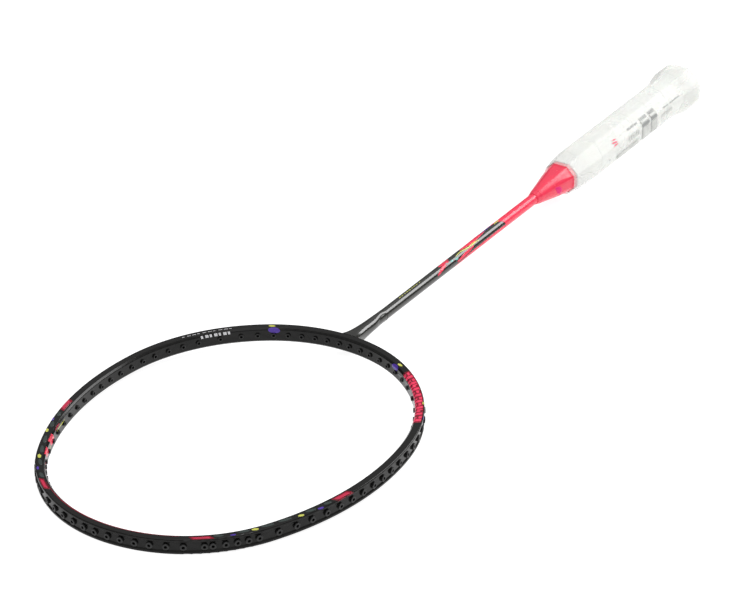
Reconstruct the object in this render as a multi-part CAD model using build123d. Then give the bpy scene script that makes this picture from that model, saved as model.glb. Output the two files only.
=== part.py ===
"""Badminton racket, unstrung, built as an assembly of separate pieces.

Units are millimetres. +X runs from the butt to the head tip, +Z is normal to the
string plane, and the origin is the centre of the butt's end face on the shaft axis.
"""
import os
from math import cos, degrees, pi, radians, sin, sqrt

from build123d import *

# ---- overall ----
OVERALL_LENGTH = 675.0

# ---- head loop: tangent arcs from tip to throat, as (outer radius, end angle in degrees) ----
HEAD_ARCS = ((89.75, 61.5), (178.0, 100.0), (110.25, 146.5))  # the last arc is derived
HEAD_HALF_HEIGHT = 4.75      # half of the frame's height, along Z
HEAD_DEPTH = 5.6             # frame section across the string plane
LIP_Z = 3.2                  # where the outer string groove starts, from mid-height
GROOVE_DEPTH = 0.7
GROOVE_FLOOR_Z = 2.4
INNER_BEVEL = (1.2, 3.5)     # depth of the inner top bevel, and the height where it ends
LIP_FILLET, EDGE_FILLET, BEVEL_FILLET, GROOVE_FILLET = 0.8, 0.8, 0.8, 0.25
FRAME_WALL = 1.0             # carbon wall round the hollow

# ---- string grommets: distance along the outer edge from the tip, each side ----
GROMMET_AT = (
    4.3, 12.4, 20.9, 29.6, 38.8, 48.4, 59.9, 64.5, 71.6, 78.2, 84.5,
    90.7, 102.8, 114.2, 124.7, 135.2, 145.2, 154.8, 163.9, 173.4, 182.5, 191.8,
    201.3, 211.2, 220.7, 230.3, 240.7, 251.0, 261.7, 276.1, 289.6, 300.1,
    310.3, 319.6, 328.5, 337.5, 345.9, 354.6,
)
GROMMET_GROUPS = {"tip": (0, 6), "shoulder": (6, 14), "side": (14, 23), "lower": (23, 31),
                  "throat": (31, 38)}
GROMMET_BORE_R = 0.9
GROMMET_BARREL_R = 1.4
GROMMET_FLANGE_R = 2.0
GROMMET_FLANGE_T = 1.2
GROMMET_STAND_OUT = 0.95     # how far the barrel shows past the inner wall
FIT_GAP = 0.05               # assembly clearance between neighbouring pieces

# ---- shaft and throat ----
SHAFT_R = 3.5
SHAFT_BORE_R = 2.65
SHAFT_START, SHAFT_END = 105.0, 420.0
PEG_START = 380.0
PEG_R = SHAFT_BORE_R - FIT_GAP
NECK_R = 1.2                 # the peg narrows between the innermost string holes
SADDLE_HALF_ANGLE = 7.0      # degrees of the last arc that the joint's saddle fills
FAIRING = (                  # x, half-width along Y, half-height along Z, corner radius
    (387.0, SHAFT_R + 0.15, SHAFT_R + 0.15, SHAFT_R + 0.05),
    (399.0, 3.85, 3.8, 3.6),
    (409.0, 4.3, 4.05, 3.7),
    (416.0, 4.85, 4.3, 3.6),
    (421.0, 5.6, 4.45, 3.2),
    (424.5, 6.7, 4.55, 2.5),
    (426.6, 8.4, 4.55, 1.8),
)
POCKET_DEPTH = 1.6           # room in the fairing for the grommet flanges behind it

# ---- handle: across-flats half-sizes of the octagonal grip, along Y, Z and the bevels ----
GRIP_HALF_Y, GRIP_HALF_Z, GRIP_HALF_BEVEL = 13.45, 12.3, 13.05
GRIP_CORNER_R = 3.0
GRIP_END = 167.0
FLARE = ((0.8, 1.6), (4.0, 2.7), (9.0, 3.1), (14.0, 2.5), (20.0, 1.2), (25.0, 0.3), (29.0, 0.0))
TAPER = ((149.0, 0.0), (159.0, -0.9), (167.0, -2.1))
GRIP_THICKNESS = 1.6
CHEEK_END = 23.0
CHEEK_SPLIT = 0.1            # glue line between the two cheeks
CORE_START = 2.0
CORE_CAVITY_R, CORE_CAVITY_END = 8.0, 60.0
NOSE_R, NOSE_END = 7.4, 181.0
TAPE_START = 157.0
TAPE_THICKNESS = 0.2
FILM_INSET, FILM_THICKNESS = 0.35, 0.3
FILM_START = 1.2
FILM_TAIL = ((167.0, -2.1), (169.0, -2.4), (171.0, -2.7))

# ---- cone: x, half-sizes along Y, Z and the bevels, corner radius ----
CONE = (
    (167.1, 10.9, 9.8, 10.5, 2.2),
    (173.0, 10.0, 9.1, 9.7, 3.4),
    (180.0, 8.85, 8.35, 8.75, 6.0),
    (189.0, 7.2, 7.1, 7.15, 6.6),
    (199.0, 5.25, 5.25, 5.25, 5.0),
    (205.0, 3.9, 3.9, 3.9, 3.75),
)

# ---- butt cap ----
CAP_HALF_Y, CAP_HALF_Z, CAP_HALF_BEVEL = 13.25, 12.1, 12.85
CAP_CORNER_R = 2.6
CAP_THICKNESS = 1.9
CAP_SKIRT_WALL, CAP_SKIRT_END = 1.3, 10.0
CAP_RING_R, CAP_RING_WIDTH, CAP_RING_DEPTH = 9.6, 0.6, 0.3


def head_arcs():
    """One half of the head as (centre x, centre y, radius, start, end) in radians."""
    arcs = []
    x, y, start = OVERALL_LENGTH - HEAD_ARCS[0][0], 0.0, 0.0
    for i, (radius, end_deg) in enumerate(HEAD_ARCS):
        end = radians(end_deg)
        arcs.append((x, y, radius, start, end))
        if i + 1 < len(HEAD_ARCS):
            following = HEAD_ARCS[i + 1][0]
        else:
            following = radius + y / sin(end)  # closes the loop on the axis
        x += (radius - following) * cos(end)
        y += (radius - following) * sin(end)
        start = end
    arcs.append((x, 0.0, following, start, pi))
    return arcs


def throat_x():
    """Where the head's outer edge crosses the axis at the throat."""
    x, _, radius, _, _ = head_arcs()[-1]
    return x - radius


def head_point(distance, side):
    """Frame with its origin on the outer edge and its Z axis pointing out of the head."""
    for x, y, radius, start, end in head_arcs():
        span = radius * (end - start)
        if distance <= span:
            angle = start + distance / radius
            break
        distance -= span
    out = (cos(angle), side * sin(angle), 0)
    return Plane(origin=(x + radius * out[0], side * y + radius * out[1], 0),
                 x_dir=(0, 0, 1), z_dir=out)


def polygon_face(points):
    """Closed face in the XZ plane from (x, z) points."""
    outline = Polyline(*[(x, 0, z) for x, z in points], close=True)
    return Face(Wire(outline.edges()))


def mirrored_points(upper):
    """The points, followed by their mirror images below mid-height."""
    return upper + [(x, -z) for x, z in reversed(upper)]


def frame_section():
    """Solid outline of the head frame: outer edge at x = 0, string groove facing out."""
    top, lip, floor_z = HEAD_HALF_HEIGHT, LIP_Z, GROOVE_FLOOR_Z
    bevel, bevel_z = INNER_BEVEL
    inner_top = (-HEAD_DEPTH + bevel, top)
    face = polygon_face(mirrored_points(
        [(-HEAD_DEPTH, bevel_z), inner_top, (0, top), (0, lip), (-GROOVE_DEPTH, floor_z)]))
    rounding = (((0, top), LIP_FILLET), ((0, lip), GROOVE_FILLET),
                ((-GROOVE_DEPTH, floor_z), GROOVE_FILLET),
                (inner_top, EDGE_FILLET), ((-HEAD_DEPTH, bevel_z), BEVEL_FILLET))
    for (x, z), radius in rounding:
        corners = [v for v in face.vertices() if abs(v.X - x) < 0.01 and abs(abs(v.Z) - z) < 0.01]
        face = face.fillet_2d(radius, corners)
    return face


def hollow_section():
    """Section of the hollow inside the frame."""
    outer, inner = -GROOVE_DEPTH - FRAME_WALL, -HEAD_DEPTH + FRAME_WALL
    top = HEAD_HALF_HEIGHT - FRAME_WALL
    return polygon_face(mirrored_points([(inner, top), (outer, top)]))


def clearance_section():
    """The frame's outline with a little clearance and no fillets, to cut neighbours back."""
    top = HEAD_HALF_HEIGHT + FIT_GAP
    return polygon_face(mirrored_points(
        [(-HEAD_DEPTH, top), (FIT_GAP, top), (FIT_GAP, LIP_Z - FIT_GAP),
         (FIT_GAP - GROOVE_DEPTH, GROOVE_FLOOR_Z - FIT_GAP)]))


def revolve_arc(section, arc, side):
    """Revolve the section along one arc of the head."""
    x, y, radius, start, end = arc
    placed = Pos(x, side * y, 0) * Rot(0, 0, side * degrees(start)) * Pos(radius, 0, 0) * section
    axis = Axis((x, side * y, 0), (0, 0, side))
    return revolve(placed, axis, revolution_arc=degrees(end - start))


def revolve_head(section):
    """Revolve the section round the whole head loop."""
    arcs = [revolve_arc(section, arc, side) for side in (1, -1) for arc in head_arcs()]
    return arcs[0].fuse(*arcs[1:])


def single(shape):
    """The one solid of a shape that must be one solid."""
    solids = shape.solids()
    if len(solids) != 1:
        raise ValueError(f"expected one solid, got {len(solids)}")
    return solids[0]


def grommet_holes():
    """Cylinders that cut every grommet hole through both walls of the frame."""
    hole = Pos(0, 0, -HEAD_DEPTH / 2) * Cylinder(GROMMET_BARREL_R + FIT_GAP, HEAD_DEPTH + 2)
    return [head_point(at, side) * hole for at in GROMMET_AT for side in (1, -1)]


def peg_hole():
    """Hole through the outer wall at the throat for the neck of the joint."""
    depth = GROOVE_DEPTH + FRAME_WALL + 0.2
    return tube(NECK_R + FIT_GAP, 0, throat_x() - 0.1, throat_x() - 0.1 + depth)


def head_frame():
    """Hollow carbon loop with its string groove and holes."""
    loop = revolve_head(frame_section()).cut(revolve_head(hollow_section()))
    return single(loop.cut(*grommet_holes(), peg_hole()))


def grommet(at, side):
    """One nylon grommet: flange in the groove, barrel through both walls, bored through."""
    seat = -GROOVE_DEPTH + FIT_GAP
    tail = -HEAD_DEPTH - GROMMET_STAND_OUT
    up = (Align.CENTER, Align.CENTER, Align.MIN)
    flange = Pos(0, 0, seat) * Cylinder(GROMMET_FLANGE_R, GROMMET_FLANGE_T, align=up)
    flange = flange.chamfer(0.25, None, [flange.edges().sort_by(Axis.Z)[-1]])
    barrel = Pos(0, 0, tail) * Cylinder(GROMMET_BARREL_R, seat - tail, align=up)
    bore = Pos(0, 0, tail - 1) * Cylinder(GROMMET_BORE_R, HEAD_DEPTH + 4, align=up)
    return single(head_point(at, side) * (flange + barrel - bore))


def grommet_groups():
    """Node name to grommets: shared at the tip and throat, left and right elsewhere."""
    groups = {}
    for name, (first, last) in GROMMET_GROUPS.items():
        for side, label in ((1, "left"), (-1, "right")):
            node = f"grommets_{name}" if name in ("tip", "throat") else f"grommets_{name}_{label}"
            groups.setdefault(node, []).extend(grommet(at, side) for at in GROMMET_AT[first:last])
    return groups


def tube(outer, inner, start, end):
    """Round tube along X."""
    length = end - start
    up = (Align.CENTER, Align.CENTER, Align.MIN)
    body = Cylinder(outer, length, align=up)
    if inner:
        body -= Cylinder(inner, length, align=up)
    return Pos(start, 0, 0) * (Rot(0, 90, 0) * body)


def shaft():
    return single(tube(SHAFT_R, SHAFT_BORE_R, SHAFT_START, SHAFT_END))


def throat_joint():
    """Peg in the shaft with a saddle that sits in the frame's hollow."""
    x, _, radius, _, _ = head_arcs()[-1]
    outer = -GROOVE_DEPTH - FRAME_WALL - FIT_GAP
    inner = -HEAD_DEPTH + FRAME_WALL + FIT_GAP
    top = HEAD_HALF_HEIGHT - FRAME_WALL - FIT_GAP
    section = polygon_face(mirrored_points([(inner, top), (outer, top)]))
    half = radians(SADDLE_HALF_ANGLE)
    saddle = revolve_arc(section, (x, 0, radius, pi - half, pi + half), 1)
    clear = GROMMET_BARREL_R + 2 * FIT_GAP
    holes = [head_point(at, side) * Cylinder(clear, 4 * HEAD_DEPTH)
             for at in GROMMET_AT[-2:] for side in (1, -1)]
    neck = tube(NECK_R, 0, SHAFT_END - 1, throat_x() + GROOVE_DEPTH + FRAME_WALL + 0.5)
    return single(saddle.cut(*holes) + neck + tube(PEG_R, 0, PEG_START, SHAFT_END))


def rounded_box_face(x, half_y, half_z, radius):
    """Rounded rectangle across the X axis."""
    return Pos(x, 0, 0) * (Plane.YZ * RectangleRounded(2 * half_y, 2 * half_z, radius)).face()


def throat_fairing():
    """Moulded flare from the shaft to the frame, with pockets for the nearest grommets."""
    body = loft([rounded_box_face(*station) for station in FAIRING])
    x, _, radius, _, _ = head_arcs()[-1]
    half = radians(25)
    frame = revolve_arc(clearance_section(), (x, 0, radius, pi - half, pi + half), 1)
    inside = Pos(x, 0, 0) * Cylinder(radius - HEAD_DEPTH + 0.5, 4 * HEAD_HALF_HEIGHT)
    bore = tube(SHAFT_R + FIT_GAP, 0, FAIRING[0][0] - 1, SHAFT_END + FIT_GAP)
    neck = tube(NECK_R + FIT_GAP, 0, SHAFT_END, FAIRING[-1][0] + 3)
    pocket = Cylinder(GROMMET_FLANGE_R + 2 * FIT_GAP, 2 * POCKET_DEPTH - GROOVE_DEPTH)
    pockets = [head_point(at, side) * pocket for at in GROMMET_AT[-3:] for side in (1, -1)]
    return single(body.cut(frame, inside, bore, neck, *pockets))


def octagon_face(x, half_y, half_z, half_bevel, radius):
    """Rounded octagon across the X axis, given by its half sizes across the flats."""
    side_z = half_bevel * sqrt(2) - half_y
    top_y = half_bevel * sqrt(2) - half_z
    quarter = [(half_y, side_z), (top_y, half_z)]
    upper = quarter + [(-y, z) for y, z in reversed(quarter)]
    points = upper + [(y, -z) for y, z in reversed(upper)]
    outline = Polyline(*[(x, y, z) for y, z in points], close=True)
    face = Face(Wire(outline.edges()))
    return face.fillet_2d(radius, face.vertices())


def grip_face(x, offset):
    """Octagon of the grip's surface, grown by the offset."""
    return octagon_face(x, GRIP_HALF_Y + offset, GRIP_HALF_Z + offset, GRIP_HALF_BEVEL + offset,
                        max(GRIP_CORNER_R + offset, 1.0))


def handle_body(stations, inset):
    """Solid through the stations, each an (x, offset) of the grip's surface."""
    parts = []
    for run in stations:
        parts.append(loft([grip_face(x, offset - inset) for x, offset in run], ruled=len(run) < 3))
    return parts[0].fuse(*parts[1:]) if len(parts) > 1 else parts[0]


def cut_between(body, start, end):
    """Keep what lies between two planes across X."""
    middle, length = (start + end) / 2, end - start
    return body & Pos(middle, 0, 0) * Box(length, 60, 60)


GRIP_RUNS = (FLARE, ((FLARE[-1][0], 0.0), (TAPER[0][0], 0.0)), TAPER)
CORE_RUNS = (((0.0, 0.0), (TAPER[0][0], 0.0)), TAPER)
FILM_RUNS = (FLARE, ((FLARE[-1][0], 0.0), (TAPER[0][0], 0.0)), TAPER, FILM_TAIL)


def base_grip():
    """Base grip wrapped on the handle, flaring over the cheeks."""
    outside = handle_body(GRIP_RUNS, 0.0)
    inside = handle_body(GRIP_RUNS, GRIP_THICKNESS)
    return single(outside - inside)


def handle_core():
    """Octagonal wooden handle, bored for the shaft and hollowed at the butt."""
    core = handle_body(CORE_RUNS, GRIP_THICKNESS + FIT_GAP)
    core = cut_between(core, CORE_START, GRIP_END) + tube(NOSE_R, 0, GRIP_END - 1, NOSE_END)
    bore = tube(SHAFT_R + FIT_GAP, 0, SHAFT_START - 2, NOSE_END + 1)
    cavity = tube(CORE_CAVITY_R, 0, -1, CORE_CAVITY_END)
    return single(core.cut(bore, cavity))


def cheeks():
    """Left and right blocks that form the flare between the core and the grip."""
    flare = handle_body((FLARE,), GRIP_THICKNESS + FIT_GAP)
    core = handle_body(CORE_RUNS[:1], GRIP_THICKNESS)
    ring = cut_between(flare - core, CORE_START, CHEEK_END)
    ring -= Box(200, CHEEK_SPLIT, 60)
    return {f"butt_cheek_{'left' if s.center().Y > 0 else 'right'}": s for s in ring.solids()}


def butt_cap():
    """Flush end cap with a skirt that plugs the hollow of the handle."""
    outline = octagon_face(0, CAP_HALF_Y, CAP_HALF_Z, CAP_HALF_BEVEL, CAP_CORNER_R)
    plate = extrude(outline, CAP_THICKNESS, dir=(1, 0, 0))
    skirt_r = CORE_CAVITY_R - FIT_GAP
    skirt = tube(skirt_r, skirt_r - CAP_SKIRT_WALL, CAP_THICKNESS - 0.2, CAP_SKIRT_END)
    ring = tube(CAP_RING_R, CAP_RING_R - CAP_RING_WIDTH, -1, CAP_RING_DEPTH)
    return single(plate + skirt - ring)


def finishing_tape():
    """Tape round the top end of the grip."""
    outside = handle_body((TAPER,), -FIT_GAP - TAPE_THICKNESS)
    inside = handle_body((TAPER,), -FIT_GAP)
    return single(cut_between(outside - inside, TAPE_START, GRIP_END))


def film_sleeve():
    """Clear factory film over the grip and the wide end of the cone."""
    outside = handle_body(FILM_RUNS, -FILM_INSET - FILM_THICKNESS)
    inside = handle_body(FILM_RUNS, -FILM_INSET)
    return single(cut_between(outside - inside, FILM_START, FILM_TAIL[-1][0] + 1))


def cone():
    """Plastic cone from the octagonal handle to the round shaft."""
    body = loft([octagon_face(*station) for station in CONE])
    bore = tube(SHAFT_R + FIT_GAP, 0, CONE[0][0] - 1, CONE[-1][0] + 1)
    socket = tube(NOSE_R + FIT_GAP, 0, CONE[0][0] - 1, NOSE_END + FIT_GAP)
    return single(body.cut(bore, socket))


def main():
    os.makedirs("parts", exist_ok=True)
    nodes = {
        "head_frame": head_frame(),
        "throat_joint": throat_joint(),
        "throat_fairing": throat_fairing(),
        "shaft": shaft(),
        "cone": cone(),
        "handle_core": handle_core(),
        "butt_cap": butt_cap(),
        "base_grip": base_grip(),
        "finishing_tape": finishing_tape(),
        "film_sleeve": film_sleeve(),
    }
    nodes.update(cheeks())
    for name, solids in grommet_groups().items():
        nodes[name] = Compound(children=solids)
    for name, shape in nodes.items():
        shape.label = name
        export_step(shape, f"parts/{name}.step")
        print(name, shape.is_valid, round(shape.volume, 1), shape.bounding_box())


if __name__ == "__main__":
    main()
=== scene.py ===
"""Studio picture of the unstrung badminton racket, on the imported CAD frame. Metres."""

from math import cos, hypot, pi, radians, sin, sqrt, tau

import bmesh
import bpy
from mathutils import Matrix, Vector, noise
from mathutils.bvhtree import BVHTree

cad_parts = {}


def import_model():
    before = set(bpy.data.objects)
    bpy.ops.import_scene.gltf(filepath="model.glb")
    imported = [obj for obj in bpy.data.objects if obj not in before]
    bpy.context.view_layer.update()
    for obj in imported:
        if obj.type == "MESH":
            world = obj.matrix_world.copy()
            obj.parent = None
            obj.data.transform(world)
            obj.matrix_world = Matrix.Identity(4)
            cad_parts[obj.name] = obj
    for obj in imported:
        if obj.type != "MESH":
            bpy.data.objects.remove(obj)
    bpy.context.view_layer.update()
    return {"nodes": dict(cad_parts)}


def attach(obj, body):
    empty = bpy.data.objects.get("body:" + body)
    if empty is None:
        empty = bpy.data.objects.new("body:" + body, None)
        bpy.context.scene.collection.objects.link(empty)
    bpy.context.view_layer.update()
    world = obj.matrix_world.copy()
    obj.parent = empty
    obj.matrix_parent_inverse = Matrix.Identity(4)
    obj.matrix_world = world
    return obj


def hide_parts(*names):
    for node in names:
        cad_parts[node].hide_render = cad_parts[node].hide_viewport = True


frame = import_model()
nodes = frame["nodes"]
MM = 0.001

# ---- head frame section and outline, and the shaft, in mm, as in the CAD ----
OVERALL_LENGTH = 675.0
HEAD_ARCS = ((89.75, 61.5), (178.0, 100.0), (110.25, 146.5))
HALF_HEIGHT, DEPTH = 4.75, 5.6
BEVEL_IN, BEVEL_Z = 1.2, 3.5
CORNER_R = 0.8
SHAFT_R = 3.5
VIEW_PHI = radians(45.5)     # angle round the shaft that the printed side faces

# ---- printing, in mm ----
LIFT, INK = 0.045, 0.035     # the ink's top above the surface, and its thickness
OVERPRINT = 0.05             # how much further out a second layer of ink lies
CONE_PRINT_R = 9.0           # radius that turns mm round the cone into an angle
FILM_PRINT_R = 13.0          # the same on the film


# ======================= surfaces that the printing follows =======================
def head_arcs():
    """Half of the head's outline as (centre x, centre y, radius, start, end) arcs from the tip."""
    arcs = []
    x, y, start = OVERALL_LENGTH - HEAD_ARCS[0][0], 0.0, 0.0
    for i, (radius, end_deg) in enumerate(HEAD_ARCS):
        end = radians(end_deg)
        arcs.append((x, y, radius, start, end))
        following = HEAD_ARCS[i + 1][0] if i + 1 < len(HEAD_ARCS) else radius + y / sin(end)
        x += (radius - following) * cos(end)
        y += (radius - following) * sin(end)
        start = end
    arcs.append((x, 0.0, following, start, pi))
    return arcs


ARCS = head_arcs()


def head_edge(s):
    """Point on the outer edge and outward direction; s is mm from the tip, negative to the right."""
    side = 1 if s >= 0 else -1
    distance = abs(s)
    for x, y, radius, start, end in ARCS:
        angle = start + distance / radius
        if distance <= radius * (end - start) or end == pi:
            break
        distance -= radius * (end - start)
    out = Vector((cos(angle), side * sin(angle), 0))
    return Vector((x, side * y, 0)) + radius * out, out


def rounded_profile(points, radius, steps=6):
    """Polyline with its inner corners rounded, as (point, normal, distance) samples."""
    line = [Vector(points[0])]
    for before, corner, after in zip(points, points[1:], points[2:]):
        a, c, b = Vector(before), Vector(corner), Vector(after)
        u, v = (a - c).normalized(), (b - c).normalized()
        half = u.angle(v) / 2
        reach = radius / abs(sin(half) / cos(half))
        centre = c + (u + v).normalized() * radius / sin(half)
        p, q = c + u * reach - centre, c + v * reach - centre
        for i in range(steps + 1):
            t = i / steps
            line.append(centre + (p * (1 - t) + q * t).normalized() * radius)
    line.append(Vector(points[-1]))
    out, total = [], 0.0
    for i, p in enumerate(line):
        if i:
            total += (p - line[i - 1]).length
        along = (line[min(i + 1, len(line) - 1)] - line[max(i - 1, 0)]).normalized()
        out.append((p, Vector((-along.y, along.x)), total))
    return out


# from low on the outer wall, over the top face and the inner bevel, down the inner wall
PROFILE = rounded_profile(((0, 0.0), (0, HALF_HEIGHT), (-DEPTH + BEVEL_IN, HALF_HEIGHT),
                           (-DEPTH, BEVEL_Z), (-DEPTH, -3.5)), CORNER_R)
EDGE_AT = HALF_HEIGHT - (2 - pi / 2) * CORNER_R / 2   # where b = 0, the top outer corner


def head_surface(s, b):
    """Point and normal; b is mm over the section from the top outer corner, positive inward."""
    at = max(0.0, min(b + EDGE_AT, PROFILE[-1][2] - 1e-6))
    for (p, n, d), (q, m, e) in zip(PROFILE, PROFILE[1:]):
        if at <= e:
            t = (at - d) / (e - d) if e > d else 0.0
            break
    point, normal = p.lerp(q, t), -n.lerp(m, t).normalized()
    origin, out = head_edge(s)
    up = Vector((0, 0, 1))
    return origin + out * point.x + up * point.y, out * normal.x + up * normal.y


def shaft_surface(x, b):
    """b is mm round the shaft from the printed side, positive over the top."""
    phi = VIEW_PHI + b / SHAFT_R
    out = Vector((0, cos(phi), sin(phi)))
    return Vector((x, 0, 0)) + SHAFT_R * out, out


def node_tree(name):
    """Search tree of a CAD node's faces, in mm."""
    o = nodes[name]
    points = [o.matrix_world @ v.co / MM for v in o.data.vertices]
    return BVHTree.FromPolygons(points, [tuple(p.vertices) for p in o.data.polygons])


def outside(tree, x, phi, reach=60.0):
    """Point and normal where a line from outside meets the piece, square to the axis."""
    out = Vector((0, cos(phi), sin(phi)))
    hit, normal, _, _ = tree.ray_cast(Vector((x, 0, 0)) + out * reach, -out, reach)
    if hit is None:
        return None
    return hit, normal if normal.dot(out) > 0 else -normal


# ======================= mesh builders =======================
def piece(name, points, faces, material, smooth=True, replaces=()):
    mesh = bpy.data.meshes.new(name)
    mesh.from_pydata([p * MM for p in points], [], faces)
    mesh.validate()
    bm = bmesh.new()
    bm.from_mesh(mesh)
    bmesh.ops.recalc_face_normals(bm, faces=bm.faces)
    bm.to_mesh(mesh)
    bm.free()
    if smooth:
        mesh.polygons.foreach_set("use_smooth", [True] * len(mesh.polygons))
    o = bpy.data.objects.new(name, mesh)
    bpy.context.scene.collection.objects.link(o)
    mesh.materials.append(material)
    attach(o, "root")
    for node in replaces:
        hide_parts(node)
    return o


def closed_sheet(rows, thick):
    """Closed thin shell from rows of (point, normal); the rows form a rectangular grid."""
    n, m = len(rows), len(rows[0])
    points = [p for row in rows for p, _ in row] + [p - thick * k for row in rows for p, k in row]
    low = n * m
    faces = []
    for i in range(n - 1):
        for j in range(m - 1):
            a, b, c, d = i * m + j, (i + 1) * m + j, (i + 1) * m + j + 1, i * m + j + 1
            faces += [(a, b, c, d), (low + d, low + c, low + b, low + a)]
    rim = ([i * m for i in range(n)] + [(n - 1) * m + j for j in range(1, m)]
           + [i * m + m - 1 for i in range(n - 2, -1, -1)] + [j for j in range(m - 2, 0, -1)])
    for a, b in zip(rim, rim[1:] + rim[:1]):
        faces.append((b, a, low + a, low + b))
    return points, faces


def closed_tube(rings, wall):
    """Closed tube from rings of (point, normal); the inside lies one wall below."""
    n, m = len(rings), len(rings[0])
    points = [p for ring in rings for p, _ in ring] + [p - wall * k for ring in rings for p, k in ring]
    low = n * m
    faces = []
    for i in range(n - 1):
        for j in range(m):
            k = (j + 1) % m
            a, b, c, d = i * m + j, (i + 1) * m + j, (i + 1) * m + k, i * m + k
            faces += [(a, d, c, b), (low + b, low + c, low + d, low + a)]
    for j in range(m):
        k = (j + 1) % m
        last = (n - 1) * m
        faces += [(j, low + j, low + k, k), (last + k, low + last + k, low + last + j, last + j)]
    return points, faces


def curve_through(points, per_span):
    """Catmull-Rom samples through (a, b, width) points."""
    if len(points) == 2:
        return [tuple(p + (q - p) * i / per_span for p, q in zip(*points))
                for i in range(per_span + 1)]
    ext = [points[0]] + list(points) + [points[-1]]
    out = []
    for p0, p1, p2, p3 in zip(ext, ext[1:], ext[2:], ext[3:]):
        for i in range(per_span):
            t = i / per_span
            out.append(tuple(0.5 * (2 * b + (c - a) * t + (2 * a - 5 * b + 4 * c - d) * t * t
                                    + (3 * b - a - 3 * c + d) * t ** 3)
                             for a, b, c, d in zip(p0, p1, p2, p3)))
    out.append(tuple(points[-1]))
    return out


def stroke(surface, points, lift=LIFT, per_span=10, across=6):
    """Printed stroke through (a, b, width) points on a surface."""
    line = curve_through(points, per_span)
    rows = []
    for i, (a, b, w) in enumerate(line):
        p, q = line[max(i - 1, 0)], line[min(i + 1, len(line) - 1)]
        ta, tb = q[0] - p[0], q[1] - p[1]
        size = hypot(ta, tb) or 1.0
        na, nb = -tb / size, ta / size
        row = []
        for j in range(across + 1):
            off = w * (j / across - 0.5)
            point, normal = surface(a + na * off, b + nb * off)
            row.append((point + lift * normal, normal))
        rows.append(row)
    return closed_sheet(rows, INK)


def slanted(surface, a0, a1, b0, b1, skew, lift=LIFT, along=10, across=8):
    """Printed parallelogram; skew is how far the b1 edge moves along a."""
    rows = []
    for i in range(along + 1):
        row = []
        for j in range(across + 1):
            t = j / across
            point, normal = surface(a0 + (a1 - a0) * i / along + skew * t, b0 + (b1 - b0) * t)
            row.append((point + lift * normal, normal))
        rows.append(row)
    return closed_sheet(rows, INK)


def lens(surface, a, b, length, width, tilt=0.0, lift=LIFT, across=6):
    """Printed leaf shape."""
    points = []
    for t in (-1.0, -0.8, -0.4, 0.0, 0.4, 0.8, 1.0):
        points.append((a + t * length / 2, b + tilt * t, max(0.12, width * sqrt(1 - t * t))))
    return stroke(surface, points, lift, 4, across)


def prints(name, material, shells):
    """One piece from several printed shapes."""
    points, faces = [], []
    for p, f in shells:
        base = len(points)
        points += p
        faces += [tuple(base + i for i in face) for face in f]
    return piece(name, points, faces, material)


# ======================= materials =======================
class Nodes:
    """Short names for building one material's node tree."""

    def __init__(self, name):
        self.material = bpy.data.materials.new(name)
        self.material.use_nodes = True
        self.tree = self.material.node_tree
        self.bsdf = self.tree.nodes["Principled BSDF"]
        coords = self.tree.nodes.new("ShaderNodeTexCoord")
        self.place = coords.outputs["Object"]

    def new(self, kind, **settings):
        node = self.tree.nodes.new(kind)
        for key, value in settings.items():
            setattr(node, key, value)
        return node

    def link(self, out, node, name):
        self.tree.links.new(out, node.inputs[name])

    def mapped(self, scale):
        node = self.new("ShaderNodeMapping")
        self.link(self.place, node, "Vector")
        node.inputs["Scale"].default_value = scale
        return node.outputs["Vector"]

    def noise(self, scale, detail=4.0, distort=0.0, vector=None):
        node = self.new("ShaderNodeTexNoise")
        self.link(vector or self.place, node, "Vector")
        node.inputs["Scale"].default_value = scale
        node.inputs["Detail"].default_value = detail
        node.inputs["Distortion"].default_value = distort
        return node.outputs["Fac"]

    def cells(self, scale, vector=None):
        node = self.new("ShaderNodeTexVoronoi")
        self.link(vector or self.place, node, "Vector")
        node.inputs["Scale"].default_value = scale
        return node.outputs

    def wave(self, scale, vector=None, distort=0.0, direction="X"):
        node = self.new("ShaderNodeTexWave", bands_direction=direction)
        self.link(vector or self.place, node, "Vector")
        node.inputs["Scale"].default_value = scale
        node.inputs["Distortion"].default_value = distort
        return node.outputs["Fac"]

    def ramp(self, fac, stops):
        node = self.new("ShaderNodeValToRGB")
        self.link(fac, node, "Fac")
        ramp = node.color_ramp
        while len(ramp.elements) < len(stops):
            ramp.elements.new(0.5)
        for element, (at, colour) in zip(ramp.elements, stops):
            element.position = at
            element.color = (*colour, 1)
        return node.outputs["Color"]

    def span(self, fac, low, high):
        node = self.new("ShaderNodeMapRange")
        self.link(fac, node, "Value")
        node.inputs["To Min"].default_value = low
        node.inputs["To Max"].default_value = high
        return node.outputs["Result"]

    def multiply(self, a, b):
        node = self.new("ShaderNodeMath", operation="MULTIPLY")
        self.tree.links.new(a, node.inputs[0])
        self.tree.links.new(b, node.inputs[1])
        return node.outputs[0]

    def bump(self, height, distance, strength=1.0, before=None):
        node = self.new("ShaderNodeBump")
        self.link(height, node, "Height")
        node.inputs["Distance"].default_value = distance * MM
        node.inputs["Strength"].default_value = strength
        if before:
            self.link(before, node, "Normal")
        return node.outputs["Normal"]

    def finish(self, colour, rough, normal, **fixed):
        self.link(colour, self.bsdf, "Base Color")
        self.link(rough, self.bsdf, "Roughness")
        self.link(normal, self.bsdf, "Normal")
        for key, value in fixed.items():
            self.bsdf.inputs[key.replace("_", " ")].default_value = value
        return self.material


def shade(colour, factor):
    """A lighter or darker version of a colour."""
    return tuple(min(1.0, c * factor) for c in colour)


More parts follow.
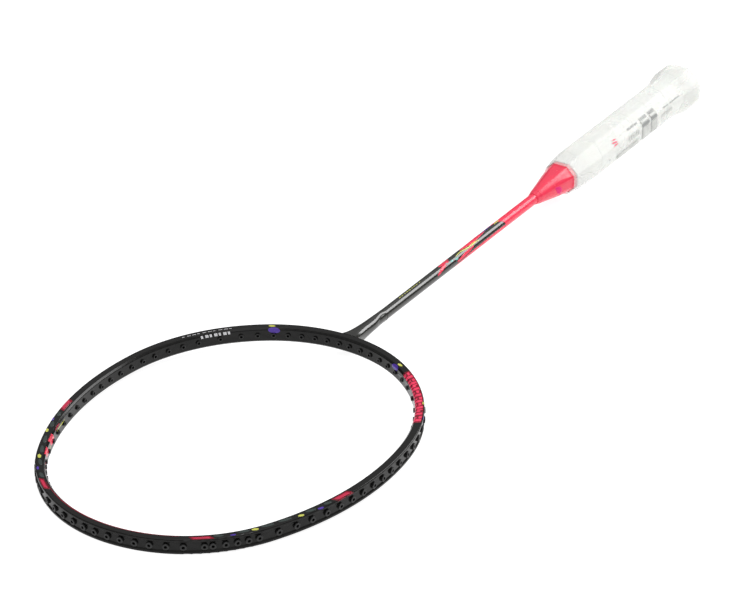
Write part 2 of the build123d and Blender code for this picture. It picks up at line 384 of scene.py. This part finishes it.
def lacquer(name, dark, light, ior=1.46, coat=0.3, weave=0.35):
    """Clear-coated carbon: a faint twill under the gloss, orange peel and fine scuffs on it."""
    n = Nodes(name)
    twill = n.wave(190, n.mapped((1.0, 1.0, 0.6)), 0.4, "DIAGONAL")
    cloud = n.noise(35, 5, 0.6)
    base = n.ramp(n.multiply(n.span(twill, 1 - weave, 1.0), n.span(cloud, 0.5, 1.0)),
                  ((0.25, dark), (0.95, light)))
    rough = n.span(n.noise(420, 6, 0.2), 0.10, 0.24)
    peel = n.bump(n.noise(900, 2), 0.004)
    scuff = n.bump(n.noise(240, 8, 1.2, n.mapped((0.15, 1.0, 1.0))), 0.003, 0.6, peel)
    n.link(peel, n.bsdf, "Coat Normal")
    return n.finish(base, rough, scuff, IOR=ior, Coat_Weight=coat, Coat_Roughness=0.04)


def ink(name, colour, rough=(0.16, 0.34), spread=0.16, coat=0.12):
    """Screen-printed ink: uneven cover, a slightly raised and dimpled surface."""
    n = Nodes(name)
    cover = n.noise(160, 5, 0.8)
    base = n.ramp(cover, ((0.30, shade(colour, 1 - spread)), (0.70, shade(colour, 1 + spread / 2))))
    return n.finish(base, n.span(n.noise(600, 4), *rough), n.bump(n.noise(1400, 3), 0.01),
                    IOR=1.36, Coat_Weight=coat, Coat_Roughness=0.06)


def moulded(name, dark, light, rough, grain=0.02, scale=900, sss=0.0):
    """Moulded plastic: fine spark-eroded grain, soft mottling and handling marks."""
    n = Nodes(name)
    base = n.ramp(n.noise(60, 5, 0.5), ((0.3, dark), (0.7, light)))
    marks = n.bump(n.noise(200, 7, 1.5, n.mapped((0.2, 1.0, 1.0))), 0.01, 0.5)
    return n.finish(base, n.span(n.noise(350, 5), *rough),
                    n.bump(n.cells(scale)["Distance"], grain, 1.0, marks),
                    IOR=1.5, Subsurface_Weight=sss, Subsurface_Scale=0.002)


def wrap_material():
    """Soft polyurethane grip: pores, a faint lengthwise drag and slight yellowing."""
    n = Nodes("grip_wrap")
    base = n.ramp(n.noise(45, 6, 0.4), ((0.3, (0.85, 0.855, 0.82)), (0.72, (0.90, 0.90, 0.875))))
    pores = n.bump(n.cells(1500)["Distance"], 0.03)
    drag = n.bump(n.noise(90, 5, 0.8, n.mapped((3.0, 0.6, 0.6))), 0.06, 0.7, pores)
    return n.finish(base, n.span(n.noise(220, 5), 0.42, 0.62), drag,
                    IOR=1.30, Sheen_Weight=0.15, Subsurface_Weight=0.08, Subsurface_Scale=0.002)


def film_material():
    """Clear film, hazier where it is creased, with fine pulled streaks."""
    n = Nodes("clear_film")
    haze = n.noise(70, 6, 1.4, n.mapped((0.5, 1.2, 1.2)))
    base = n.ramp(haze, ((0.25, (0.92, 0.935, 0.91)), (0.8, (0.98, 0.985, 0.97))))
    n.link(n.span(haze, 0.16, 0.34), n.bsdf, "Alpha")
    streaks = n.bump(n.noise(70, 4, 0.6, n.mapped((0.10, 1.0, 1.0))), 0.025, 0.6)
    return n.finish(base, n.span(n.noise(120, 4), 0.26, 0.38), streaks, IOR=1.22)


def wood_material():
    """Pale hardwood with long grain."""
    n = Nodes("handle_wood")
    rings = n.wave(30, n.mapped((0.08, 1.0, 1.0)), 6.0, "Y")
    base = n.ramp(rings, ((0.15, (0.36, 0.20, 0.09)), (0.85, (0.62, 0.42, 0.22))))
    grain = n.noise(900, 6, 0.4, n.mapped((0.05, 1.0, 1.0)))
    return n.finish(base, n.span(grain, 0.5, 0.75), n.bump(grain, 0.08), IOR=1.45)


FLOOR_GLOW = 0.90            # the sweep is lit from behind, like a light table


def floor_material():
    """Matt white sweep with a glow of its own, so that shadows stay faint."""
    n = Nodes("sweep")
    base = n.ramp(n.noise(3, 3), ((0.3, (0.34, 0.34, 0.34)), (0.7, (0.36, 0.36, 0.36))))
    return n.finish(base, n.span(n.noise(8, 3), 0.85, 0.95), n.bump(n.noise(400, 4), 0.02), IOR=1.3,
                    Emission_Color=(1, 1, 1, 1), Emission_Strength=FLOOR_GLOW)


def build_materials():
    """Every material of the racket, by short name."""
    coral, pink = (0.93, 0.050, 0.105), (0.95, 0.045, 0.125)
    return {
        "frame": lacquer("frame_lacquer", (0.003, 0.003, 0.003), (0.012, 0.0115, 0.011), 1.28, 0.04),
        "shaft": lacquer("shaft_lacquer", (0.014, 0.014, 0.0125), (0.042, 0.042, 0.038)),
        "fairing": lacquer("fairing_lacquer", (0.012, 0.012, 0.011), (0.036, 0.036, 0.033)),
        "moulding": moulded("carbon_moulding", (0.006, 0.006, 0.006), (0.02, 0.02, 0.02), (0.4, 0.6)),
        "nylon": moulded("grommet_nylon", (0.0015, 0.0015, 0.0015), (0.006, 0.006, 0.006),
                         (0.38, 0.55), 0.03, 1600),
        "cone": moulded("cone_plastic", shade(coral, 0.92), coral, (0.18, 0.32), 0.012, 1200, 0.05),
        "cap": moulded("cap_plastic", (0.80, 0.80, 0.78), (0.88, 0.88, 0.86), (0.30, 0.45), 0.03,
                       1100, 0.05),
        "tape": moulded("tape", (0.82, 0.82, 0.80), (0.90, 0.90, 0.88), (0.25, 0.4), 0.02, 700),
        "wood": wood_material(),
        "wrap": wrap_material(),
        "film": film_material(),
        "coral": ink("ink_coral", coral),
        "pink": ink("ink_pink", pink),
        "magenta": ink("ink_magenta", (0.80, 0.002, 0.17), (0.3, 0.45), coat=0.0),
        "crimson": ink("ink_crimson", (0.26, 0.004, 0.022)),
        "yellow": ink("ink_yellow", (0.68, 0.70, 0.13)),
        "purple": ink("ink_purple", (0.085, 0.035, 0.38)),
        "white": ink("ink_white", (0.72, 0.72, 0.74)),
        "berry": ink("ink_berry", (0.62, 0.022, 0.075)),
        "teal": ink("ink_teal", (0.22, 0.60, 0.55)),
        "slate": ink("ink_slate", (0.035, 0.050, 0.046)),
        "grey": ink("ink_grey", (0.32, 0.33, 0.32), coat=0.1),
        "pale": ink("ink_pale", (0.60, 0.61, 0.58), coat=0.1),
    }


def dress(o, material):
    """Gives the object this one material."""
    o.data.materials.clear()
    o.data.materials.append(material)


# ======================= printing on the head =======================
SLASH_START, SLASH_STEP = 241.2, 7.35
SLASH_ORDER = (0, 1, 2, 0, 2, 1, 0, 2)
SLASH_BAR = (0.0, 2.5, 0.9, 5.9, -1.6)       # from, to, low edge, high edge, skew
SLASH_BARBS = (
    ((3.2, 5.9, 0.9, 2.7, -0.6), (2.3, 4.4, 3.7, 5.9, -0.7)),
    ((3.1, 4.9, 2.2, 5.9, -1.2), (5.4, 6.5, 0.9, 4.2, -1.0)),
    ((3.2, 6.3, 1.7, 3.4, -0.5), (2.4, 5.2, 4.3, 5.9, -0.5)),
)


def slash_unit(a, kind):
    """One unit of the abstract slash band: a full bar with shorter barbs beside it."""
    return [slanted(head_surface, a + a0, a + a1, b0, b1, skew, LIFT + OVERPRINT)
            for a0, a1, b0, b1, skew in (SLASH_BAR,) + SLASH_BARBS[kind]]


def head_prints(mats):
    """Slash band, corner patches, leaves, lines and dashes on the head; a is mm from the tip."""
    h = head_surface
    both = (1, -1)
    slashes = []
    for i, kind in enumerate(SLASH_ORDER):
        slashes += slash_unit(SLASH_START + SLASH_STEP * i, kind)
    prints("print_head_slashes", mats["pink"], slashes)
    ground = [slanted(h, 239.6, 300.6, 0.5, 6.3, -1.8, along=60)]
    prints("print_head_slash_ground", mats["crimson"], ground)

    pink, berry = [], []
    for s in both:
        berry += [slanted(h, s * 54.6, s * 64.0, 0.8, 2.3, s * -1.9),
                  slanted(h, s * 144.2, s * 153.6, 0.3, 2.6, s * -1.8)]
    prints("print_head_berry", mats["berry"], berry)
    pink += [slanted(h, -115.0, -106.6, 4.6, 8.4, -1.4), lens(h, -111.5, 8.6, 6.4, 2.6),
             slanted(h, -100.2, -92.4, 4.9, 8.2, -1.6), lens(h, -98.6, 8.7, 7.0, 2.2),
             stroke(h, ((-92.5, 9.2, 0.5), (-89, 9.4, 1.0), (-85.5, 9.6, 0.4))),
             stroke(h, ((-83, 9.4, 0.35), (-77, 9.2, 0.7), (-70, 8.8, 0.3)))]
    prints("print_head_pink", mats["coral"], pink)

    outline = []
    for s in both:
        outline += [slanted(h, s * 53.2, s * 65.4, 0.2, 2.9, s * -2.0, LIFT - 0.02),
                    slanted(h, s * 142.6, s * 155.2, -0.6, 3.4, s * -1.9, LIFT - 0.02)]
    prints("print_head_outline", mats["crimson"], outline)
    crimson = [stroke(h, ((-60, 3.4, 0.2), (-30, 3.7, 0.7), (0, 4.0, 0.9), (24, 3.9, 0.7),
                          (46, 3.6, 0.2)), per_span=16),
               stroke(h, ((-128.5, 5.6, 0.5), (-124.5, 5.6, 1.4), (-120.0, 5.8, 0.5))),
               slanted(h, -115.4, -106.2, 4.2, 4.7, 0.0), slanted(h, -100.6, -92.0, 4.5, 5.0, 0.0)]
    prints("print_head_crimson", mats["crimson"], crimson)

    yellow = []
    for s in both:
        yellow += [lens(h, s * 89.2, 2.1, 4.1, 2.1, s * -0.35),
                   lens(h, s * 117.8, 1.1, 3.7, 1.9, s * -0.3),
                   lens(h, s * 309.2, 2.7, 4.2, 1.9, s * 0.2)]
    yellow += [stroke(h, ((-137, 7.7, 0.25), (-130, 7.6, 0.75), (-122.5, 7.5, 0.25))),
               stroke(h, ((-108.5, 8.9, 0.3), (-105.5, 9.1, 0.8), (-102.5, 9.2, 0.3))),
               lens(h, 261.6, 0.6, 3.0, 1.0)]
    prints("print_head_yellow", mats["yellow"], yellow)

    purple = []
    for s in both:
        purple += [lens(h, s * 76.0, 1.2, 3.4, 1.5), lens(h, s * 130.8, 0.4, 4.0, 1.5, s * -0.3),
                   lens(h, s * 310.6, 6.1, 7.8, 3.6, s * 0.3, LIFT + 0.04, 24)]
    purple.append(lens(h, 245.5, -0.6, 3.4, 1.0))
    prints("print_head_purple", mats["purple"], purple)

    slate = []
    for s in both:
        for a, length, b in ((68.0, 6.0, 2.4), (82.5, 7.0, 2.8), (97.0, 8.0, 2.6),
                             (108.0, 8.5, 2.4), (125.0, 6.5, 2.0), (137.0, 5.0, 1.8)):
            slate.append(lens(h, s * a, b, length, 2.4, s * -0.4))
    slate.append(stroke(h, ((276, 8.6, 1.0), (286, 8.2, 3.4), (296, 8.2, 3.6), (306, 8.6, 1.0))))
    prints("print_head_slate", mats["slate"], slate)

    white = []
    for i in range(10):
        a = -252.0 - 3.4 * i
        white.append(stroke(h, ((a, 2.9, 0.5), (a - (2.4 if i % 3 else 1.5), 2.9, 0.5))))
    for i in range(7):
        a = -263.4 - 2.95 * i
        white.append(slanted(h, a, a - (2.1 if i % 2 else 1.4), 5.3, 7.1, -0.3))
    prints("print_head_white", mats["white"], white)


# ======================= printing on the shaft and cone =======================
GROUND_START, GROUND_END, GROUND_SLANT, GROUND_TURN = 203.0, 246.0, 7.5, 1.5
GROUND_RINGS, GROUND_SIDES = 60, 48
CONE_LINE = ((200.6, 0.03), (200.9, 0.10), (201.3, 0.10), (201.6, 0.03))   # x, height
CONE_LINE_SIDES, CONE_LINE_WALL = 64, 0.12


def shaft_ground(mats):
    """Solid colour from inside the cone's end to a slanted end round the shaft."""
    half = pi * SHAFT_R          # b runs from -half to half round the shaft
    rows = []
    for i in range(GROUND_RINGS + 1):
        row = []
        for j in range(GROUND_SIDES):
            b = -half + 2 * half * j / GROUND_SIDES
            end = GROUND_END + GROUND_SLANT * (1 - cos((b + GROUND_TURN) / SHAFT_R))
            point, normal = shaft_surface(GROUND_START + (end - GROUND_START) * i / GROUND_RINGS, b)
            row.append((point + LIFT * normal, normal))
        rows.append(row)
    points, faces = closed_tube(rows, INK)
    piece("print_shaft_ground", points, faces, mats["coral"])


def shaft_prints(mats):
    """Swirls, leaves and dashes towards the head, over the bare lacquer."""
    f = shaft_surface
    coral = [stroke(f, ((238, -4.2, 3.8), (256, -3.9, 3.8), (276, -4.0, 3.5), (293, -4.2, 2.8),
                        (309, -4.6, 0.4)), per_span=14),
             stroke(f, ((248, 4.4, 2.6), (255, 4.7, 1.8), (263, 5.2, 0.3))),
             stroke(f, ((266, 3.4, 0.9), (275, 3.1, 2.6), (285, 2.9, 3.2), (296, 3.2, 1.0))),
             stroke(f, ((310, 3.4, 0.6), (316, 3.1, 2.2), (322, 2.9, 0.8))),
             stroke(f, ((311.5, 2.0, 0.7), (319, 0.9, 2.2), (328, -1.6, 0.9))),
             stroke(f, ((284, -0.2, 0.6), (294, -1.3, 2.2), (305, -2.2, 0.8)))]
    prints("print_shaft_coral", mats["coral"], coral)
    yellow = [stroke(f, ((276, 0.4, 0.3), (281, 1.0, 0.9), (286, 0.4, 0.3))),
              stroke(f, ((282.5, 1.6, 0.3), (289, 0.9, 0.9), (297, 1.9, 0.7), (304, 1.3, 0.3))),
              lens(f, 251.0, 3.2, 7.0, 1.0, -0.3)]
    prints("print_shaft_yellow", mats["yellow"], yellow)
    teal = [lens(f, 304.6, -0.3, 3.4, 1.3), lens(f, 309.6, 0.5, 2.8, 1.1), lens(f, 315.2, 1.3, 2.2, 0.9)]
    prints("print_shaft_teal", mats["teal"], teal)
    crimson = [stroke(f, ((289, -1.9, 0.4), (296, -2.7, 1.2), (304, -3.0, 0.3))),
               stroke(f, ((264, 4.2, 0.3), (271, 4.4, 1.1), (280, 4.8, 0.3)))]
    prints("print_shaft_crimson", mats["crimson"], crimson)
    purple = [stroke(f, ((256, 3.8, 0.3), (264, 3.7, 0.8), (272, 4.0, 0.2)))]
    prints("print_shaft_purple", mats["purple"], purple)
    dashes = []
    for i in range(9):
        a = 344.4 + 2.8 * i
        dashes.append(stroke(f, ((a, 2.6, 0.42), (a + (1.9 if i % 3 else 1.2), 2.6, 0.42))))
    prints("print_shaft_dashes", mats["yellow"], dashes)


def cone_prints(mats):
    """A swoosh on the cone's near side, and a fine raised line round its narrow end."""
    tree = node_tree("cone")

    def surface(x, b):
        return outside(tree, x, VIEW_PHI + b / CONE_PRINT_R)

    swoosh = [stroke(surface, ((183.0, -11.5, 0.6), (183.6, -9.6, 3.6), (185.2, -6.8, 4.8),
                               (188.2, -4.2, 0.8)))]
    prints("print_cone", mats["magenta"], swoosh)
    rings = []
    for x, height in CONE_LINE:
        ring = []
        for j in range(CONE_LINE_SIDES):
            point, normal = outside(tree, x, tau * j / CONE_LINE_SIDES)
            ring.append((point + height * normal, normal))
        rings.append(ring)
    points, faces = closed_tube(rings, CONE_LINE_WALL)
    piece("cone_rim_line", points, faces, mats["coral"])


# ======================= handle: wrap, film and its printing =======================
WRAP_START, WRAP_END, WRAP_RINGS, WRAP_SIDES = 0.85, 166.95, 420, 160
WRAP_PITCH, WRAP_STEP = 23.0, 0.16
WRAP_LAP, WRAP_LAP_SHARE = 0.12, 0.05        # height of a lapped edge, and its share of a turn
WRAP_DEEPEST, WRAP_WALL = 0.42, 1.0
FILM_START, FILM_END, FILM_RINGS, FILM_SIDES = 1.3, 170.8, 300, 200
FILM_REACH = (1.25, 170.95)                  # the CAD sleeve's ends, a hair inside
FILM_SINK, FILM_WALL = 0.18, 0.08            # how far the film lies below the sleeve's face
FILM_SEAM = radians(236)


def wrap(mats):
    """Grip strip wound up the handle: each turn's edge laps on the one below."""
    tree = node_tree("base_grip")
    rings = []
    for i in range(WRAP_RINGS + 1):
        x = WRAP_START + (WRAP_END - WRAP_START) * i / WRAP_RINGS
        ring = []
        for j in range(WRAP_SIDES):
            phi = tau * j / WRAP_SIDES
            point, normal = outside(tree, x, phi)
            turn = (x / WRAP_PITCH + phi / tau) % 1.0
            lap = max(0.0, 1.0 - turn / WRAP_LAP_SHARE)
            soft = noise.noise(Vector((x * 0.09, cos(phi) * 2.2, sin(phi) * 2.2)))
            sink = WRAP_STEP * (1 - turn) + WRAP_LAP * lap - 0.05 * soft
            ring.append((point - min(WRAP_DEEPEST, max(0.0, sink)) * normal, normal))
        rings.append(ring)
    points, faces = closed_tube(rings, WRAP_WALL)
    piece("grip_wrap", points, faces, mats["wrap"], replaces=("base_grip",))


def film_base():
    """Gives the point and normal of the CAD sleeve's face at x and an angle round the handle."""
    tree = node_tree("film_sleeve")

    def at(x, phi):
        point, normal = outside(tree, max(FILM_REACH[0], min(x, FILM_REACH[1])), phi)
        return Vector((x, point.y, point.z)), normal
    return at


def crease(x, phi):
    """How far the film stands off its path: long soft folds, gathers at its ends, a seam."""
    y, z = cos(phi), sin(phi)
    folds = noise.noise(Vector((x * 0.035, y * 2.6, z * 2.6)))
    fine = noise.noise(Vector((x * 0.16 + 9, y * 5.5, z * 5.5)))
    gather_butt = max(0.0, 1 - x / 30.0) * noise.noise(Vector((x * 0.05, y * 9, z * 9)))
    gather_top = max(0.0, (x - 140) / 31.0) * noise.noise(Vector((x * 0.06 + 5, y * 8, z * 8)))
    seam = max(0.0, 1 - abs((phi - FILM_SEAM) * 13.0) / 1.6)
    return 0.08 * folds + 0.015 * fine + 0.10 * gather_butt + 0.06 * gather_top + 0.30 * seam


def film_surface(path):
    """Surface of the creased film; b is mm round it from the printed side, positive over the top."""
    def surface(x, b):
        phi = VIEW_PHI + b / FILM_PRINT_R
        point, normal = path(x, phi)
        return point + (crease(x, phi % tau) - FILM_SINK) * normal, normal
    return surface


def film(mats, path):
    """The clear film, a closed tube with slightly ragged ends."""
    rings = []
    for i in range(FILM_RINGS + 1):
        ring = []
        for j in range(FILM_SIDES):
            phi = tau * j / FILM_SIDES
            ragged = 0.25 * noise.noise(Vector((cos(phi) * 3, sin(phi) * 3, 1.5)))
            x = FILM_START + (FILM_END + ragged - FILM_START) * i / FILM_RINGS
            point, normal = path(x, phi)
            ring.append((point + (crease(x, phi) - FILM_SINK) * normal, normal))
        rings.append(ring)
    points, faces = closed_tube(rings, FILM_WALL)
    piece("film_wrap", points, faces, mats["film"], replaces=("film_sleeve",))


def film_prints(mats, path):
    """Two blocks of small panels, dashes and a long band, all square to the handle."""
    f = film_surface(path)
    bars, pale = [], []
    for a0, a1 in ((61.2, 69.4), (71.8, 82.0)):
        bars.append(slanted(f, a0, a1, -6.6, -4.6, 0))
        pale += [slanted(f, a0, a1, -15.6, -7.1, 0), slanted(f, a0, a1, -4.2, -2.9, 0)]
        for i in range(4):           # small squares, evenly spaced over each block
            a = a0 + (a1 - a0) * (i + 0.15) / 4
            bars.append(slanted(f, a, a + 1.3, -2.4, -0.6, 0.3))
    for a0, a1 in ((29.2, 31.4), (32.6, 35.4), (36.4, 39.0), (40.0, 42.0), (45.0, 47.6), (48.6, 51.4)):
        bars.append(slanted(f, a0, a1, -5.0, -4.3, 0))
    for a0, a1 in ((85.4, 88.8), (90.0, 93.2), (94.4, 98.4)):
        bars.append(slanted(f, a0, a1, -2.4, -1.2, 0))
    pale += [slanted(f, 87.0, 117.0, -15.4, -12.4, 0, along=24)]
    for i in range(7):
        a = 40.0 + 2.3 * i
        pale.append(slanted(f, a, a + 1.5, -10.0, -8.0, 0.2))
    for i in range(6):
        a = 86.5 + 2.4 * i
        pale.append(slanted(f, a, a + 1.6, -9.0, -6.0, 0.2))
    prints("print_film_grey", mats["grey"], bars)
    prints("print_film_pale", mats["pale"], pale)
    rose = [lens(f, 117.6, -3.2, 6.2, 0.9, 0.5), lens(f, 116.6, -1.6, 4.6, 0.7, 0.3),
            stroke(f, ((115.0, -4.9, 0.3), (117.8, -4.7, 0.7), (121.0, -5.0, 0.3)))]
    prints("print_film_rose", mats["pink"], rose)


SUN_RAYS = 12
SUN_RAY = ((3.4, -0.16), (8.2, -0.07), (8.2, 0.07), (3.4, 0.16))   # radius, angle
SUN_DEPTH = (-0.05, 0.10)    # how far the rays stand out of the cap and reach into it


def cap_emblem(mats):
    """Generic raised sunburst on the butt cap's end."""
    points, faces = [], []
    for k in range(SUN_RAYS):
        a = tau * k / SUN_RAYS
        base = len(points)
        for depth in SUN_DEPTH:
            for radius, off in SUN_RAY:
                points.append(Vector((depth, radius * cos(a + off), radius * sin(a + off))))
        q = [base + i for i in range(8)]
        faces += [(q[0], q[1], q[2], q[3]), (q[7], q[6], q[5], q[4])]
        for i in range(4):
            j = (i + 1) % 4
            faces.append((q[i], q[i + 4], q[j + 4], q[j]))
    piece("cap_emblem", points, faces, mats["coral"], smooth=False)


# ======================= stage =======================
CAMERA_AT = (1.90152, 0.96487, 0.99234)
CAMERA_RIGHT = (-0.53539, 0.84454, -0.01006)
CAMERA_DOWN = (0.41158, 0.25048, -0.87628)
CAMERA_AHEAD = (-0.73753, -0.47329, -0.48171)
CAMERA_LENS, CAMERA_SENSOR = 163.234, 36.0   # mm
FLOOR_LOW, FLOOR_LOW_X, FLOOR_SLOPE = -0.0162, 0.006, (0.01142, 0.666)   # under the butt's flare
FLOOR_CORNERS = ((-4, -4), (5, -4), (5, 4), (-4, 4))
WORLD_STOPS = ((0.0, 1.0), (0.49, 1.0), (0.51, 0.08), (0.69, 0.08), (0.745, 0.50), (1.0, 0.66))
LIGHTS_AIM = (0.35, 0, 0)    # middle of the racket


def camera():
    """A long lens from beyond the head, looking back along the racket."""
    cam = bpy.data.cameras.new("camera")
    cam.lens = CAMERA_LENS
    cam.sensor_width = CAMERA_SENSOR
    cam.clip_end = 50
    o = bpy.data.objects.new("camera", cam)
    axes = Matrix((Vector(CAMERA_RIGHT), -Vector(CAMERA_DOWN), -Vector(CAMERA_AHEAD)))
    m = axes.transposed().to_4x4()
    m.translation = Vector(CAMERA_AT)
    o.matrix_world = m
    bpy.context.scene.collection.objects.link(o)
    bpy.context.scene.camera = o


def floor():
    """White sweep that the butt's flare and the head rest on."""
    mesh = bpy.data.meshes.new("floor")
    rise, run = FLOOR_SLOPE
    corners = [(x, y, FLOOR_LOW + (x - FLOOR_LOW_X) * rise / run) for x, y in FLOOR_CORNERS]
    mesh.from_pydata(corners, [], [(0, 1, 2, 3)])
    o = bpy.data.objects.new("floor", mesh)
    bpy.context.scene.collection.objects.link(o)
    dress(o, floor_material())


def world():
    """Soft studio: white below, dark towards the walls, brighter overhead."""
    w = bpy.data.worlds.new("studio")
    bpy.context.scene.world = w
    w.use_nodes = True
    tree = w.node_tree
    coords = tree.nodes.new("ShaderNodeTexCoord")
    split = tree.nodes.new("ShaderNodeSeparateXYZ")
    ramp = tree.nodes.new("ShaderNodeValToRGB")
    span = tree.nodes.new("ShaderNodeMapRange")
    span.inputs["From Min"].default_value = -1.0
    tree.links.new(coords.outputs["Generated"], split.inputs["Vector"])
    tree.links.new(split.outputs["Z"], span.inputs["Value"])
    tree.links.new(span.outputs["Result"], ramp.inputs["Fac"])
    while len(ramp.color_ramp.elements) < len(WORLD_STOPS):
        ramp.color_ramp.elements.new(0.5)
    for element, (at, grey) in zip(ramp.color_ramp.elements, WORLD_STOPS):
        element.position = at
        element.color = (grey, grey, grey, 1)
    tree.links.new(ramp.outputs["Color"], tree.nodes["Background"].inputs["Color"])
    tree.nodes["Background"].inputs["Strength"].default_value = 1.0


def area(name, direction, distance, size, power, across=(1, 0, 0)):
    """Soft box that faces the racket; size runs along and square to the across direction."""
    light = bpy.data.lights.new(name, "AREA")
    light.shape = "RECTANGLE"
    light.size, light.size_y = size
    light.energy = power
    o = bpy.data.objects.new(name, light)
    d = Vector(direction).normalized()
    o.location = Vector(LIGHTS_AIM) + d * distance
    across = Vector(across)
    side = (across - across.dot(d) * d).normalized()
    o.rotation_euler = Matrix((side, d.cross(side), d)).transposed().to_euler()
    bpy.context.scene.collection.objects.link(o)


CAD_LOOKS = {"head_frame": "frame", "throat_joint": "moulding", "throat_fairing": "fairing",
             "shaft": "shaft", "cone": "cone", "handle_core": "wood", "butt_cheek_left": "wood",
             "butt_cheek_right": "wood", "butt_cap": "cap", "base_grip": "wrap",
             "finishing_tape": "tape", "film_sleeve": "film"}   # the rest are grommets


def main():
    mats = build_materials()
    for name, o in nodes.items():
        dress(o, mats[CAD_LOOKS.get(name, "nylon")])
    head_prints(mats)
    shaft_ground(mats)
    shaft_prints(mats)
    cone_prints(mats)
    wrap(mats)
    path = film_base()
    film(mats, path)
    film_prints(mats, path)
    cap_emblem(mats)
    camera()
    floor()
    world()
    area("key", (-0.740, 0.325, 0.586), 2.5, (1.25, 1.3), 36, across=(0, -0.875, 0.485))
    area("top", (0.1, 0.1, 1), 3.0, (3, 3), 34)
    bpy.context.scene.view_settings.view_transform = "Standard"


main()
